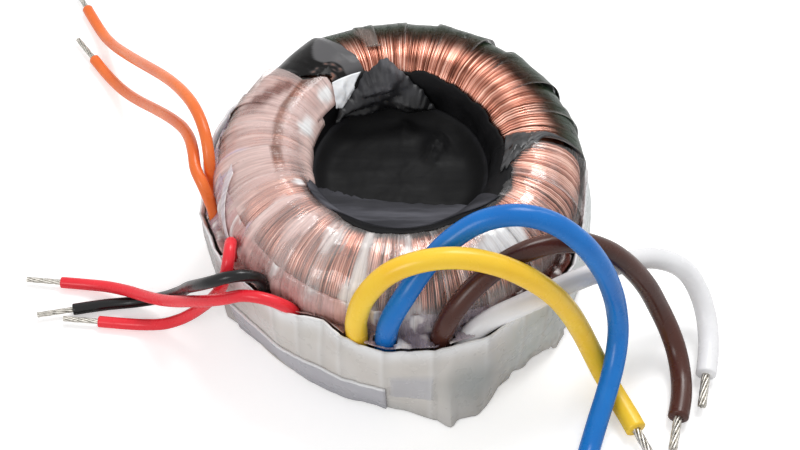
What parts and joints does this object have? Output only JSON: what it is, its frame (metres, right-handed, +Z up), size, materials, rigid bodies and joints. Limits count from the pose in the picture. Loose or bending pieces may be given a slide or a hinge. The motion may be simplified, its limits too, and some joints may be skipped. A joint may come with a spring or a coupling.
{
  "type": "toroidal transformer with flying leads",
  "caption": "Small toroidal transformer: a copper-wound ring in clear film, its hole filled with black resin, a pale insulation skirt round its foot and coloured flying leads.",
  "frame": {"origin": "centre of the underside of the base sheet, on the ring's axis, on the surface that it stands on", "axes": "+Z up along the ring's axis; -Y towards the picture's camera, where the thick leads come out; +X to the picture's right"},
  "size_m": [0.0948, 0.0906, 0.0338],
  "materials": {
    "core_steel": "satin",
    "insulation_film": "satin",
    "copper_wire": "enamelled, glossy",
    "clear_film": "glossy",
    "black_strip": "glossy",
    "white_tab": "matt",
    "black_liner": "satin",
    "resin": "satin",
    "pale_sheet": "satin, translucent",
    "lilac_sheet": "satin",
    "splice_sleeve": "matt",
    "lead_yellow": "satin",
    "lead_blue": "satin",
    "lead_brown": "satin",
    "lead_white": "satin",
    "lead_orange": "satin",
    "lead_red": "satin",
    "lead_black": "satin",
    "tinned_copper": "satin"
  },
  "bodies": {
    "root": {"ring_core": "core_steel", "core_insulation": "insulation_film", "primary_winding": "copper_wire", "barrier_film": "insulation_film", "secondary_layers": "copper_wire", "winding_back": "copper_wire", "winding_front": "copper_wire", "film_back": "clear_film", "film_front": "clear_film", "gap_strip_left": "black_strip", "gap_strip_right": "black_strip", "insulation_tab": "white_tab", "hole_liner": "black_liner", "liner_fold": "black_liner", "resin_fill": "resin", "base_sheet": "pale_sheet", "skirt": "pale_sheet", "skirt_band": "lilac_sheet", "splice_pad": "splice_sleeve", "splice_sleeves": "splice_sleeve", "lead_yellow": "lead_yellow", "lead_blue": "lead_blue", "lead_brown": "lead_brown", "lead_white": "lead_white", "lead_orange_upper": "lead_orange", "lead_orange_lower": "lead_orange", "lead_red_front": "lead_red", "lead_red_rear": "lead_red", "lead_black": "lead_black", "end_yellow": "tinned_copper", "end_blue": "tinned_copper", "end_brown": "tinned_copper", "end_white": "tinned_copper", "end_orange_upper": "tinned_copper", "end_orange_lower": "tinned_copper", "end_red_front": "tinned_copper", "end_red_rear": "tinned_copper", "end_black": "tinned_copper"}
  },
  "joints": []
}
